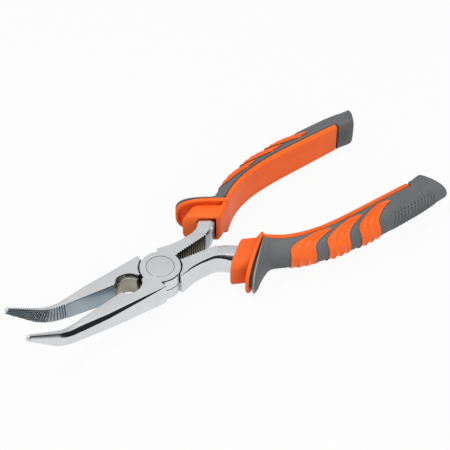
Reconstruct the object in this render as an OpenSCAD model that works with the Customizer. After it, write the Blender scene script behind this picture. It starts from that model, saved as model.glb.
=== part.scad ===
// Bent long-nose pliers: two lapped steel levers on one rivet, each with a two-shot moulded grip.
// +X runs towards the grips, -X towards the jaw tips, +Z is up, millimetres.
// The pivot axis is X = Y = 0 and the underside of the joint is Z = 0.
// The jaws stand ajar by rest_opening. The grips are given where they lie in that pose.

/* [Overall] */
// Distance from the pivot to the jaw tips, along X
jaw_length = 64.5; // [52:0.5:80]
// Distance from the pivot to the end of the grips, along X
handle_length = 128.6; // [118:0.2:150]
// Angle between the jaws in the modelled pose, degrees
rest_opening = 13.4; // [6:0.2:20]

/* [Joint] */
// Thickness of the joint and of the jaw roots
head_t = 11; // [9:0.5:13]
// Diameter of the lapped disc on each lever
disc_d = 17.2; // [15:0.2:19]
// Radial gap between a disc and the other lever's cut-away
disc_gap = 0.4; // [0.3:0.05:0.8]
// Gap between the two lapped discs
lap_gap = 0.1; // [0.06:0.02:0.3]
// Diameter of the rivet's flush heads
rivet_head_d = 11.3; // [10:0.1:12.5]
// Diameter of the rivet's shaft
rivet_shaft_d = 7.4; // [6:0.1:9]
// Depth of the straight rim of a rivet head
rivet_rim = 0.9; // [0.5:0.1:1.5]
// Radial running clearance of the rivet in the lever that turns on it
rivet_clear = 0.05; // [0.02:0.01:0.1]

/* [Jaws] */
// Jaw width at the root
jaw_root_w = 9.9; // [8.5:0.1:11]
// Jaw width halfway along the straight part
jaw_mid_w = 6.6; // [5.6:0.1:7.6]
// Jaw width where the bend starts
jaw_bend_w = 4; // [3:0.1:5.2]
// Jaw width at the tip
jaw_tip_w = 1.9; // [1.4:0.1:3]
// Jaw depth where the bend starts
jaw_bend_depth = 8; // [6:0.1:10]
// Jaw depth at the tip
jaw_tip_depth = 2.6; // [1.8:0.1:5]
// Width of the flat ground on the jaw's outer top edge, at its root
jaw_root_edge = 0.2; // [0.1:0.05:0.6]
// Width of that flat at the bend
jaw_bend_edge = 1.75; // [1:0.05:2.2]
// Edge radius along the jaw's outer bottom edge
jaw_under_round = 2.4; // [1:0.1:3]
// Distance from the pivot to the start of the bend
bend_start = 44; // [36:0.5:50]
// Angle by which the tips bend up, degrees
bend_angle = 32.5; // [20:0.5:45]
// Radius of the bend along the top edge
bend_radius = 15; // [8:0.5:20]
// Gap between the closed jaws
mate_gap = 0.1; // [0.06:0.02:0.4]
// Pitch of the gripping teeth
tooth_pitch = 1; // [0.9:0.05:2]
// Depth of the gripping teeth
tooth_depth = 0.4; // [0.2:0.05:0.6]
// Distance from the pivot to the first gripping tooth
tooth_start = 41.5; // [36:0.5:48]

/* [Round hole between the jaws] */
// Distance from the pivot to the middle of the hole
hole_x = 14.6; // [14.4:0.1:18]
// Diameter of the hole's narrow middle
hole_d = 10.4; // [8:0.1:11]
// Diameter of the wider mouths at both faces
hole_mouth_d = 11.2; // [10.6:0.1:11.4]
// Depth of each mouth
hole_mouth_depth = 2.4; // [1:0.1:3.5]
// How far the hole's centre stands off the mating plane, into the other jaw
hole_offset = 2.1; // [1:0.1:2.5]

/* [Shank] */
// Shoulder of the shank, distance from the pivot along X
shank_shoulder_x = 4.2; // [3.6:0.1:5]
// Shoulder of the jaw, distance from the pivot along X
jaw_shoulder_x = 5; // [4.4:0.1:6]
// Width of the shank where it enters the collar
shank_w = 8.2; // [7:0.1:8.6]
// Distance from the pivot to the first tooth between the shanks
rear_tooth_start = 9.6; // [9.4:0.1:11]
// Number of teeth on each shank
rear_tooth_count = 13; // [6:1:14]
// Pitch of those teeth
rear_tooth_pitch = 1.2; // [1:0.1:1.4]
// Width of the tang inside the grip
tang_w = 3.4; // [3:0.1:3.6]
// Thickness of the tang inside the grip
tang_t = 6.4; // [5:0.2:7]
// Share of the grip's length that the tang fills
tang_share = 0.78; // [0.5:0.02:0.9]

/* [Grip] */
// Half the gap between the grips at their rear
grip_spread = 22.6; // [20:0.2:26]
// Width of a grip seen from above
grip_w = 11.8; // [11:0.1:14]
// Height of a grip at its middle
grip_h = 17.2; // [16:0.2:20]
// Height of a grip at its butt
butt_h = 14.4; // [12:0.2:17]
// Fullness of the grip's rounded side
grip_fullness = 2; // [1.8:0.05:2.4]
// Bevel along the edges of the hard inner panel
rim_bevel = 1.5; // [0.8:0.1:1.8]
// Width of the hard strip beside the inner panel
strip_w = 2.5; // [2.1:0.1:2.7]
// Depth of the groove between the hard strip and the soft cover
groove_d = 1.2; // [0.6:0.1:1.6]
// Distance of the inner panel's rear edge from the butt end
panel_end_back = 16.2; // [12:0.1:20]

/* [Guard and collar] */
// Distance from the pivot to the guard's inner corner, along X
guard_x = 43.8; // [42:0.2:47]
// Distance of the guard's inner corner from the middle line
guard_y = 12.2; // [11.8:0.1:13.6]
// Angle of the guard to the middle line, degrees
guard_rake = 37; // [33:0.5:42]
// Reach of the guard from its inner corner to its tip
guard_reach = 22.8; // [21:0.2:25]
// Height of the guard
guard_h = 18.6; // [17:0.2:21]
// Thickness of the hard flange
flange_t = 1.9; // [1.7:0.1:3]
// How far the flange stands proud of the soft cover at its tip
flange_proud = 0.3; // [0.1:0.05:0.5]
// How far the flange stands proud of the soft cover above and below
flange_rise = 0.8; // [0.3:0.05:1]
// Width of the bead round the flange's dish
bead_w = 1.4; // [1:0.1:2]
// Length of the collar, square to the guard
collar_len = 9.6; // [9:0.1:11]
// Width of the collar along the guard
collar_w = 16; // [15:0.1:17]
// Height of the collar
collar_h = 14.4; // [13.6:0.2:16]
// Corner radius of the collar on its inner side
collar_round = 1.4; // [1:0.1:2]
// Corner radius of the collar on its outer side
collar_outer_round = 4; // [3:0.1:5]
// Gap round the steel at the collar's mouth
socket_gap = 0.4; // [0.3:0.05:0.6]
// Depth of that gap
socket_depth = 4; // [2:0.5:5]

/* [Fins] */
// Distance from the pivot to the front of the first fin
fin_start = 47.4; // [46:0.2:52]
// Distance from one fin to the next
fin_pitch = 15.4; // [14:0.2:17]
// Width of a fin on the outer side
fin_w = 10; // [9:0.2:11]
// How far a fin's points sweep back behind its front edge
fin_sweep = 20.2; // [18:0.2:23]
// How far a fin stands proud of the soft cover
fin_proud = 0.7; // [0.4:0.1:1.2]
// How deep a fin sits in the soft cover
fin_depth = 0.8; // [0.5:0.1:0.9]

/* [Hidden] */
$fn = 64;
// Half the thickness of the head, for sizes measured from its mid-plane
half_t = head_t / 2;
half_open = rest_opening / 2;
cut = 1;

// Lengths measured along the jaw's top edge
arc_len = bend_radius * bend_angle * PI / 180;
tip_run = (jaw_length - bend_start - bend_radius * sin(bend_angle)) / cos(bend_angle);
jaw_run = bend_start + arc_len + tip_run;
taper_start = disc_d / 2;
jaw_mid_x = 0.7 * bend_start;
tip_bevel = 0.5;
// Largest edge radius and edge flat as shares of the jaw's width and depth
round_of_w = 0.6;
flat_of_w = 0.42;
round_of_d = 0.42;
round_step = 22.5;
// The edge flats: their fall against their width, and how fast they grow along the jaw
edge_slope = 1.38;
edge_start = 7;
edge_turn = 0.75;

// Directions of the guard plane: along it towards its tip, and square to it towards the butt
guard_corner = [guard_x, guard_y];
guard_along = [-cos(guard_rake), sin(guard_rake)];
guard_back = [sin(guard_rake), cos(guard_rake)];
// Sideways drift of the collar per millimetre in front of the guard
collar_lean = 0.4;
guard_tip_x = guard_x + guard_reach * guard_along[0];
guard_tip_y = guard_y + guard_reach * guard_along[1];
guard_fullness = 3;
// Step from the guard plane into the flange, along the collar's lean
seat_inset = 0.1;
flange_bevel = 0.5;
// How far the flange's back lies behind the guard plane
flange_seat = 0.15;
collar_bevel = 0.8;
// Thickness of the flange's floor inside its bead, and width of the bead's inner slope
dish_floor = 0.7;
dish_slope = 1;
// Where the collar ends inside that floor
collar_root = 0.3;
guard_lead = (collar_lean + seat_inset) * guard_along - guard_back;

// The grip's shape is worked out along the X of its outer side
panel_x = handle_length - panel_end_back;
body_x = 100;
swing_x = 70;
neck_x = 37.5;
neck_blend = 3;
butt_rake = 9.8;
// The butt swells inwards behind the panel, and its outer side draws in
butt_flare = 0.7;
flare_lead = 3.2;
flare_run = 4.2;
butt_draw = 0.9;
draw_lead = 4;
// Domed end of the butt: how far each ring shrinks and stands behind the butt's straight part
butt_dome = [[0.3, 0.8], [1.2, 1.4], [3.2, 1.85]];
butt_crown = 1.4;
// Share of that shrinking on the inner side
dome_inner = 0.6;
hip_x = 75;
rim_drop = 0.35;
cover_lip = 1;
panel_slant = 0.8;
neck_end_x = 50;
// Where the body's outer line would cross the neck
neck_y = 18.5;
// How sharply the grip's lines turn from the guard into the body
inner_turn = 5.45;
lead_turn = 2.3;
body_turn = 3.1;
// Round back of the guard: its thickness, the run over which it rounds, its growth towards the body
nose_t = 3.3;
nose_run = 3.9;
nose_grow = 0.08;
// Distance behind the guard's tip at which the section is as round as the body's
round_run = 5;
// Fall of the body's line ahead of the neck
neck_fall = 0.8;
// The cover starts a little smaller, in the flange's floor
cover_start = 1.2;
cover_lead = 0.5;

// The hard rib that carries the tang
rib_wall = 0.8;
// How far the rib reaches into the panel, and past the tang's end
rib_lap = 0.6;
rib_over = 1.5;
tang_u = 3.7;
// Where the tang falls in beside the inner panel, behind the guard's corner
tang_lead = 3;
// How far the tang reaches into the full-thickness shank
tang_root = 2;
// How far the tang's root lies inwards of the shank's middle
tang_shift = 2.1;
rib_u = tang_u + tang_w / 2 + rib_wall;
rib_h = tang_t / 2 + rib_wall;
// Where the shank's middle would cross the guard plane
shank_u = 6.05;
// How far inside the guard plane the full-thickness shank ends
shank_stop = 1.4;
// Teeth between the shanks: off the mating line, and deep
tooth_line = half_t * 0.08;
rear_tooth_d = 0.5;
// How far the shank's shoulder stands out past the disc
shoulder_over = 1.5;
// Bow of the shank's inner edge behind its teeth: where it lies, and by how much
bow_share = 0.42;
bow_by = [0.3, -0.5];
// Edge taken off the shank's inner side there
shank_edge = 1.1;
// Flats ground on the shank's outer edges, at the shoulder and at the collar
shoulder_flat = 0.2;
collar_flat = 1.6;
// Outer line of the shank from its shoulder to the collar: X, and height over the waist
waist_line = [[7.3, 0.5], [10.5, -0.05], [14.5, -0.15], [18, 0.15], [21, 0.4], [24.4, 1.4]];

fin_count = 3;
// A fin's front edge bends back from the shoulder and runs on to the top
fin_shoulder = 30;
fin_top = 71;
fin_crest = 14;
fin_front_turn = 2.9;
// Its rear edge bends back from the heel to the hook, and rounds off to the top
fin_heel = 20;
fin_hook = 64.5;
fin_rear_turn = 3.2;
fin_tip_round = 4.7;
// How far a fin's pocket is cut past the surface
pocket_over = 2;
fin_rows = 16;
fin_flutes = 3;
fin_cols = 2 * fin_flutes;
fin_crease = 0.35;

function turn(p, a) = [p[0] * cos(a) - p[1] * sin(a), p[0] * sin(a) + p[1] * cos(a)];
function share(x, a, b) = min(1, max(0, (x - a) / (b - a)));
function mix(a, b, s) = a + (b - a) * s;
function smooth(s) = s * s * (3 - 2 * s);

// A closed solid through rings of equal length, which run clockwise looked at from the last one
module loft(rings) {
    n = len(rings[0]);
    last = len(rings) - 1;
    points = [for (ring = rings) each ring];
    sides = [for (k = [0 : last - 1], i = [0 : n - 1])
        let (a = k * n + i, b = k * n + (i + 1) % n)
        each [[a, b, b + n], [a, b + n, a + n]]];
    front = [for (i = [1 : n - 2]) [0, i + 1, i]];
    back = [for (i = [1 : n - 2]) [last * n, last * n + i, last * n + i + 1]];
    polyhedron(points, concat(sides, front, back));
}

// Place on the jaw's top edge at run a: [x, z, slope]
function jaw_edge(a) =
    a <= bend_start ? [-a, half_t, 0] :
    a <= bend_start + arc_len ?
        let (b = (a - bend_start) / bend_radius * 180 / PI)
        [-bend_start - bend_radius * sin(b), half_t + bend_radius * (1 - cos(b)), b] :
        let (s = a - bend_start - arc_len)
        [-bend_start - bend_radius * sin(bend_angle) - s * cos(bend_angle),
         half_t + bend_radius * (1 - cos(bend_angle)) + s * sin(bend_angle), bend_angle];
function jaw_width(a) =
    a < jaw_mid_x ? mix(jaw_root_w, jaw_mid_w, share(a, jaw_shoulder_x, jaw_mid_x)) :
    a < bend_start ? mix(jaw_mid_w, jaw_bend_w, share(a, jaw_mid_x, bend_start)) :
    mix(jaw_bend_w, jaw_tip_w, share(a, bend_start, jaw_run));
function jaw_depth(a) = a < bend_start ?
    mix(head_t, jaw_bend_depth, share(a, taper_start, bend_start)) :
    mix(jaw_bend_depth, jaw_tip_depth, share(a, bend_start, jaw_run));

// Section of a jaw at run a, whose mating face is cut back by inset and whose rim shrinks by bevel
function jaw_ring(a, inset, bevel = 0) =
    let (e = jaw_edge(a), w = jaw_width(a) - bevel, d = jaw_depth(a) - bevel,
         full = mix(jaw_root_edge, jaw_bend_edge, pow(share(a, edge_start, bend_start), edge_turn)),
         f = min(flat_of_w * w, flat_of_w * d / edge_slope, full),
         v = min(round_of_w * w, round_of_d * d, jaw_under_round), y0 = mate_gap / 2 + inset,
         flat = concat(
            [[y0, -d]],
            [for (q = [-90 : round_step : 0]) [w - v + v * cos(q), -d + v + v * sin(q)]],
            [[w, -bevel - edge_slope * f], [w - f, -bevel], [y0, -bevel]]))
    [for (p = flat) [e[0] + p[1] * sin(e[2]), p[0], e[1] + p[1] * cos(e[2])]];

// Jaw with its tapered nose, bend and gripping teeth, closed along Y = 0 and lying on +Y
module jaw_blank() {
    plain = concat([jaw_shoulder_x], [for (k = [0 : 4]) mix(taper_start, jaw_mid_x, k / 4)],
                   [mix(jaw_mid_x, tooth_start, 0.5)]);
    teeth = floor((jaw_run - tooth_start - tip_bevel) / tooth_pitch);
    loft(concat(
        [for (a = plain) jaw_ring(a, 0)],
        [for (k = [0 : teeth - 1], half = [0, 1])
            jaw_ring(tooth_start + (k + half / 2) * tooth_pitch, half * tooth_depth)],
        [jaw_ring(jaw_run - tip_bevel, 0), jaw_ring(jaw_run, 0, tip_bevel)]
    ));
}

// Inner edge of the grip, seen from above, at its own X
function inner_y(x) =
    grip_spread - (grip_spread - guard_y) * pow(1 - share(x, guard_x, panel_x), inner_turn)
    - butt_flare * smooth(share(x, panel_x + flare_lead, panel_x + flare_lead + flare_run));
// X of the inner edge that faces the outer side's X
function inner_x(x) = x
    + (guard_x - guard_tip_x) * pow(1 - share(x, guard_tip_x, swing_x), lead_turn)
    - butt_rake * pow(share(x, panel_x, handle_length), 2);
// Outer side of the soft cover, seen from above: the guard's round back runs into the body
function body_y(x) =
    let (top = grip_spread + grip_w - butt_draw * smooth(share(x, panel_x - draw_lead, handle_length)))
    top - (top - neck_y) * pow(1 - share(x, neck_x, body_x), body_turn) - max(0, neck_x - x) * neck_fall;
function guard_back_y(x) =
    let (run = x - guard_tip_x, s = 1 - min(1, run / nose_run))
    guard_tip_y - run * tan(guard_rake) + nose_t * sqrt(1 - s * s) + nose_grow * run;
function outer_y(x) =
    let (a = guard_back_y(x), b = body_y(x))
    (a + b + sqrt((a - b) * (a - b) + neck_blend * neck_blend)) / 2;
function grip_half_h(x) = x < hip_x ?
    mix(guard_h, grip_h, smooth(share(x, guard_tip_x, neck_end_x))) / 2 :
    mix(grip_h, butt_h, pow(share(x, hip_x, handle_length), 2)) / 2;
function fullness(x) =
    mix(guard_fullness, grip_fullness, smooth(share(x, guard_tip_x, guard_tip_x + round_run)));

// A station is a line across the grip from its inner edge to its outer side: [inner, outer, half height]
function station(x) =
    let (xi = inner_x(x))
    [[xi, inner_y(xi)], [x, x <= guard_tip_x ? guard_tip_y : outer_y(x)], grip_half_h(x)];
function station_width(s) = norm(s[1] - s[0]);

// Round the section: q is 0 at the outer side, 90 at the top of the inner edge and -90 at its bottom
function section_at(w, h, p, q) =
    [w * pow(cos(q), 2 / p), h * sign(q) * pow(abs(sin(q)), 2 / p)];
// The rounded side from u0 at the top over the outer side to the bottom, between two end points
function round_side(w, h, p, u_end, z_end, u0, steps = 7) =
    let (top = acos(pow(min(1, u0 / w), p / 2)))
    concat([[u_end, z_end]],
           [for (k = [0 : 2 * steps]) section_at(w, h, p, top * (1 - k / steps))],
           [[u_end, -z_end]]);
function on_station(s, uz) =
    let (p = s[0] + (s[1] - s[0]) * uz[0] / station_width(s))
    [p[0], p[1], uz[1]];
function placed(s, flat) = [for (uz = flat) on_station(s, uz)];
function shifted(ring, by) = [for (p = ring) p + [by[0], by[1], 0]];

// Section of the soft cover beside the hard panel, and of the whole grip behind the panel
function cover_ring(x, shrink = 0) =
    let (s = station(x), w = station_width(s) - shrink, h = s[2] - shrink)
    placed(s, round_side(w, h, fullness(x), strip_w, h - groove_d, strip_w + cover_lip));
function butt_ring(x, shrink = 0) =
    let (s = station(x), w = station_width(s) - shrink, h = s[2] - shrink)
    let (u = dome_inner * shrink)
    placed(s, round_side(w, h, fullness(x), u, h - rim_bevel, rim_bevel + u));
// Section of the hard panel: flat inside, bevelled rim, strip falling to the groove
function panel_ring(x) =
    let (s = station(x), h = s[2], a = h - rim_bevel, b = h - rim_drop, c = h - groove_d)
    placed(s, [[0, a], [rim_bevel, b], [strip_w, c], [strip_w, -c], [rim_bevel, -b], [0, -a]]);
function rib_ring(x) =
    let (u = strip_w - rib_lap)
    placed(station(x), [[u, rib_h], [rib_u, rib_h], [rib_u, -rib_h], [u, -rib_h]]);

// The stations stand closer together round the guard's back
neck_xs = [for (k = [0 : 10]) mix(guard_tip_x, neck_end_x, pow(k / 11, 2))];
body_xs = [for (k = [0 : 8]) mix(neck_end_x, panel_x, k / 8)];
module cover_blank() {
    butt_end = handle_length - butt_crown;
    butt_xs = [for (k = [0 : 4]) mix(panel_x + panel_slant, butt_end, k / 4)];
    s = station(butt_end);
    across = (s[1] - s[0]) / station_width(s);
    loft(concat(
        [shifted(cover_ring(guard_tip_x, cover_start), cover_lead * guard_lead)],
        [for (x = concat(neck_xs, body_xs)) cover_ring(x)],
        [for (x = butt_xs) butt_ring(x)],
        [for (d = butt_dome) shifted(butt_ring(butt_end, d[0]), d[1] * [across[1], -across[0]])]
    ));
}
module panel() {
    loft(concat([shifted(panel_ring(guard_tip_x), cover_lead * guard_lead)],
                [for (x = concat(neck_xs, body_xs)) panel_ring(x)]));
}
module rib() {
    loft(concat([shifted(rib_ring(guard_tip_x), 1.5 * guard_lead)],
                [for (k = [0 : 12]) rib_ring(mix(guard_tip_x, tang_end + rib_over, k / 12))]));
}

// Point in the guard's own plane: s along it, k square to it
function guard_point(s, k, z) =
    let (p = guard_corner + guard_along * s + guard_back * k)
    [p[0], p[1], z];
// The guard's hard flange: a bead along its edge round a dish that holds the collar
module flange() {
    function ring(k, shrink) =
        let (lean = collar_lean * abs(k),
             w = guard_reach + flange_proud - 2 * shrink - lean, h = guard_h / 2 + flange_rise - shrink)
        [for (uz = round_side(w, h, guard_fullness, 0, h - rim_bevel, rim_bevel))
            guard_point(uz[0] + lean + shrink, k, uz[1])];
    loft([ring(-dish_floor, bead_w + dish_slope), ring(-flange_t, bead_w), ring(-flange_t, flange_bevel),
          ring(flange_bevel - flange_t, 0), ring(flange_seat, 0)]);
}
module collar() {
    function ring(k, shrink) =
        let (a = collar_lean * abs(k) + shrink + seat_inset, b = collar_lean * abs(k) + collar_w - shrink,
             h = collar_h / 2 - shrink, r = collar_round, o = collar_outer_round)
        [for (c = [[b - o, h - o, 0, o], [a + r, h - r, 90, r],
                   [a + r, r - h, 180, r], [b - o, o - h, 270, o]],
              q = [90, 60, 30, 0])
            guard_point(c[0] + c[3] * cos(c[2] + 90 - q), k, c[1] + c[3] * sin(c[2] + 90 - q))];
    rings = [ring(-collar_len, collar_bevel), ring(collar_bevel - collar_len, 0), ring(-collar_root, 0)];
    loft([for (r = rings) [for (i = [len(r) - 1 : -1 : 0]) r[i]]]);
}

// Edges of the tang beside the grip's inner edge, at its own X
function tang_edge(x, u) =
    let (slope = (inner_y(x + 0.1) - inner_y(x - 0.1)) / 0.2, n = [-slope, 1] / norm([slope, 1]))
    [x, inner_y(x)] + n * u;
tang_end = mix(guard_x, handle_length, tang_share);
tang_xs = [for (k = [0 : 10]) mix(guard_x + tang_lead, tang_end, k / 10)];

// Where the shank's edges cross the front of the collar
collar_mid = collar_lean * collar_len + shank_u;
function at_collar(off, k = 0) =
    let (p = guard_point(collar_mid + off - collar_lean * k, k - collar_len, 0))
    [p[0], p[1]];

// Inner edge of the shank behind its teeth, from the last tooth into the collar
shank_in = at_collar(-shank_w / 2);
tooth_end = turn([rear_tooth_start + rear_tooth_count * rear_tooth_pitch, tooth_line], half_open);
shank_bow = mix(tooth_end, shank_in, bow_share) + bow_by;
// Outer edge of the shank at the joint
shoulder_y = sqrt(pow(disc_d / 2 + shoulder_over, 2) - pow(shank_shoulder_x, 2));
waist_y = disc_d / 2 - disc_gap;
shank_outer = concat(
    [[shank_shoulder_x, shoulder_y]],
    [for (p = waist_line) [p[0], waist_y + p[1]]],
    [at_collar(shank_w / 2)]
);

// Outline of the shank from the joint into the collar
module shank_plan() {
    teeth = [for (k = [0 : rear_tooth_count - 1], half = [0, 1])
        turn([rear_tooth_start + (k + half / 2) * rear_tooth_pitch, tooth_line + half * rear_tooth_d],
             half_open)];
    inside = collar_len - shank_stop;
    polygon(concat(
        [[0, 0.5]], teeth,
        [tooth_end, shank_bow, shank_in,
         at_collar(-shank_w / 2, inside), at_collar(shank_w / 2, inside)],
        [for (k = [len(shank_outer) - 1 : -1 : 0]) shank_outer[k]],
        [[shank_shoulder_x, disc_d / 6], [0, disc_d / 6]]
    ));
}
// Bars that take the edge off the shank's inner side, above and below, behind its teeth
module shank_bevel() {
    line = [tooth_end, shank_bow, shank_in, at_collar(-shank_w / 2, socket_depth - 1)];
    side = shank_edge * sqrt(2);
    for (k = [0 : len(line) - 2], z = [-half_t, half_t])
        let (d = line[k + 1] - line[k])
        translate([line[k][0], line[k][1], z])
        rotate([0, 0, atan2(d[1], d[0])])
        rotate([45, 0, 0])
        translate([0, -side / 2, -side / 2])
        cube([norm(d), side, side]);
}
// Wedges that grind a widening flat on the shank's outer edges, above and below
module shank_flats() {
    line = concat([shank_outer[0] - [cut, 0]], shank_outer, [at_collar(shank_w / 2, socket_depth - cut)]);
    last = len(line) - 1;
    over = 0.4;
    function ring(k) =
        let (d = line[min(last, k + 1)] - line[max(0, k - 1)], inwards = [d[1], -d[0]] / norm(d),
             f = mix(shoulder_flat, collar_flat, share(k, 1, last - 1)), g = f * edge_slope)
        [for (c = [[-over, over], [-over, -1 - over], [1 + over, over]])
            let (p = line[k] + inwards * f * c[0])
            [p[0], p[1], half_t + g * c[1]]];
    for (flip = [0, 1]) mirror([0, 0, flip]) loft([for (k = [0 : last]) ring(k)]);
}
module tang_plan() {
    front = collar_len - shank_stop - tang_root;
    polygon(concat(
        [at_collar(-tang_shift - tang_w / 2, front)],
        [for (x = tang_xs) tang_edge(x, tang_u - tang_w / 2)],
        [for (k = [len(tang_xs) - 1 : -1 : 0]) tang_edge(tang_xs[k], tang_u + tang_w / 2)],
        [at_collar(tang_w / 2 - tang_shift, front)]
    ));
}
module slab(h) { translate([0, 0, -h / 2]) linear_extrude(h) children(); }
module shank() {
    slab(head_t) shank_plan();
    slab(tang_t) tang_plan();
}
module socket() {
    grow = socket_gap;
    slab(head_t + 2 * socket_gap) polygon([
        at_collar(-shank_w / 2 - grow, -2), at_collar(shank_w / 2 + grow, -2),
        at_collar(shank_w / 2 + grow, socket_depth), at_collar(-shank_w / 2 - grow, socket_depth)
    ]);
}

// Profile of the rivet from its axis outwards, grown by clear
module rivet_shape(clear = 0) {
    head_r = rivet_head_d / 2 + clear;
    shaft_r = rivet_shaft_d / 2 + clear;
    neck_z = half_t - rivet_rim - (head_r - shaft_r);
    rotate_extrude() polygon([
        [0, -half_t], [head_r, -half_t], [head_r, rivet_rim - half_t], [shaft_r, -neck_z],
        [shaft_r, neck_z], [head_r, half_t - rivet_rim], [head_r, half_t], [0, half_t]
    ]);
}

// A lever whose handle lies on +Y and whose disc lies in the half of the joint that side names
module lever(side, clear) {
    disc_h = half_t - lap_gap / 2;
    difference() {
        union() {
            difference() {
                union() {
                    rotate(half_open) mirror([0, 1, 0]) jaw_blank();
                    shank();
                }
                translate([0, 0, side > 0 ? lap_gap / 2 - half_t - cut : -lap_gap / 2])
                    cylinder(r = disc_d / 2 + disc_gap, h = half_t + cut);
            }
            translate([0, 0, side > 0 ? lap_gap / 2 : -half_t]) cylinder(d = disc_d, h = disc_h);
        }
        rivet_shape(clear);
        shank_bevel();
        shank_flats();
        rotate(half_open) translate([-hole_x, hole_offset, 0]) {
            cylinder(d = hole_d, h = head_t + 2 * cut, center = true);
            for (z = [-half_t - cut, half_t - hole_mouth_depth])
                translate([0, 0, z]) cylinder(d = hole_mouth_d, h = hole_mouth_depth + cut);
        }
    }
}

// Point on a fin: x along the grip, q round the section, lifted off the cover's surface
function fin_point(x, q, lift) =
    let (s = station(x), w = station_width(s), p = fullness(x), uz = section_at(w, s[2], p, q),
         n = [pow(cos(q), 2 - 2 / p) / w, sign(q) * pow(abs(sin(q)), 2 - 2 / p) / s[2]])
    on_station(s, uz + n / norm(n) * lift);
// Front and rear edge of a fin that starts at x0, at q round the section
function fin_edges(x0, q) =
    let (r = abs(q))
    [x0 + fin_crest * pow(share(r, fin_shoulder, fin_top), fin_front_turn),
     x0 + mix(fin_w, fin_sweep, pow(share(r, fin_heel, fin_hook), fin_rear_turn))
        - fin_tip_round * pow(share(r, fin_hook, fin_top), 3)];
function ridge(c) = fin_proud * (1 - fin_crease * (c % 2));
// One row of a fin: over its ridges at the top and back along its seat
function fin_row(x0, q, over) =
    let (e = fin_edges(x0, q))
    concat([for (c = [0 : fin_cols]) fin_point(mix(e[0], e[1], c / fin_cols), q, over + ridge(c))],
           [for (c = [fin_cols : -1 : 0]) fin_point(mix(e[0], e[1], c / fin_cols), q, -fin_depth)]);
module fin(i, over = 0) {
    x0 = fin_start + i * fin_pitch;
    rows = [for (k = [-fin_rows / 2 : fin_rows / 2]) fin_row(x0, fin_top * sin(180 * k / fin_rows), over)];
    fin_loft(rows);
}
// Like loft, with caps made of quads, because a fin's end isn't convex
module fin_loft(rows) {
    n = len(rows[0]);
    last = len(rows) - 1;
    points = [for (row = rows) each row];
    sides = [for (k = [0 : last - 1], i = [0 : n - 1])
        let (a = k * n + i, b = k * n + (i + 1) % n)
        each [[a, b, b + n], [a, b + n, a + n]]];
    caps = [for (i = [0 : fin_cols - 1])
        let (o = last * n)
        each [[i, n - 2 - i, i + 1], [i, n - 1 - i, n - 2 - i],
              [o + i, o + i + 1, o + n - 2 - i], [o + i, o + n - 2 - i, o + n - 1 - i]]];
    polyhedron(points, concat(sides, caps));
}

module grip_core() {
    difference() {
        union() {
            panel();
            rib();
            flange();
            collar();
        }
        shank();
        socket();
    }
}
module grip_cover() {
    difference() {
        cover_blank();
        rib();
        flange();
        for (i = [0 : fin_count - 1]) fin(i, pocket_over);
    }
}

module on_face() { translate([0, 0, half_t]) children(); }
module far() { on_face() children(); }
module near() { on_face() mirror([0, 1, 0]) children(); }

module over_lever() { color("silver") far() lever(1, 0); }
module under_lever() { color("silver") near() lever(-1, rivet_clear); }
module pivot_rivet() { color("lightgray") on_face() rivet_shape(); }
module far_grip_core() { color("orangered") far() grip_core(); }
module far_grip_cover() { color("dimgray") far() grip_cover(); }
module near_grip_core() { color("orangered") near() grip_core(); }
module near_grip_cover() { color("dimgray") near() grip_cover(); }
module far_fin_front() { color("orangered") far() fin(0); }
module far_fin_middle() { color("orangered") far() fin(1); }
module far_fin_rear() { color("orangered") far() fin(2); }
module near_fin_front() { color("orangered") near() fin(0); }
module near_fin_middle() { color("orangered") near() fin(1); }
module near_fin_rear() { color("orangered") near() fin(2); }

over_lever();
under_lever();
pivot_rivet();
far_grip_core();
far_grip_cover();
far_fin_front();
far_fin_middle();
far_fin_rear();
near_grip_core();
near_grip_cover();
near_fin_front();
near_fin_middle();
near_fin_rear();
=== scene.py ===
import math
import bmesh
import bpy
import numpy as np
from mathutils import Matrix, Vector


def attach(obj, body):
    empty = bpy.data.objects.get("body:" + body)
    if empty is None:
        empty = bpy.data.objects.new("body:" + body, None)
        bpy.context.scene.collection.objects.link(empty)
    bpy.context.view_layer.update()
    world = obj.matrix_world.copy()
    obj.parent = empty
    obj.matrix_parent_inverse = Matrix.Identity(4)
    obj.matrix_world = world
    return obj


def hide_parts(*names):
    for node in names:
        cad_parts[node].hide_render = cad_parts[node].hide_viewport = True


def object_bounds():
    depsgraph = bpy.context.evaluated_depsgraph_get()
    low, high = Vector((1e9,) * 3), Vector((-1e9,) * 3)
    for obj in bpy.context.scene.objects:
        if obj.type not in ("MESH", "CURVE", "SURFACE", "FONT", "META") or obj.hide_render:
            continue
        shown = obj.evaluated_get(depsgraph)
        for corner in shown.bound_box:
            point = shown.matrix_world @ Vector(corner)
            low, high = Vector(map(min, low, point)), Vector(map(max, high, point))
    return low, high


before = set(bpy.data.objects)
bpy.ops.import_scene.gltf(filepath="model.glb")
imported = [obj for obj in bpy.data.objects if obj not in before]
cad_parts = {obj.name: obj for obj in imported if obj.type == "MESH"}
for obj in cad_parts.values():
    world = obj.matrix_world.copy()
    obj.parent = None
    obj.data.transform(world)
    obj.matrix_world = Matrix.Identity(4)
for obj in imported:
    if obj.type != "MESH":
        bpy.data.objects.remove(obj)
cad_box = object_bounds()

# Sizes in millimetres, as in the solids. Heights are taken from the joint's mid-plane.
MM = 0.001
HALF_T = 5.5
HALF_OPEN = 6.7

# Joint
DISC_R = 8.6
CUT_R = 9.0
LAP = 0.05
RIVET_R = 5.65
SHAFT_R = 3.7
RIVET_RIM = 0.9
RIVET_CLEAR = 0.05
RIVET_PLAY = 0.015
RIVET_EDGE = 0.14
SEAT_BEVEL = 0.16
DISC_EDGE = 0.3
LAP_BEVEL = 0.16
CUT_BEVEL = 0.22

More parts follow.
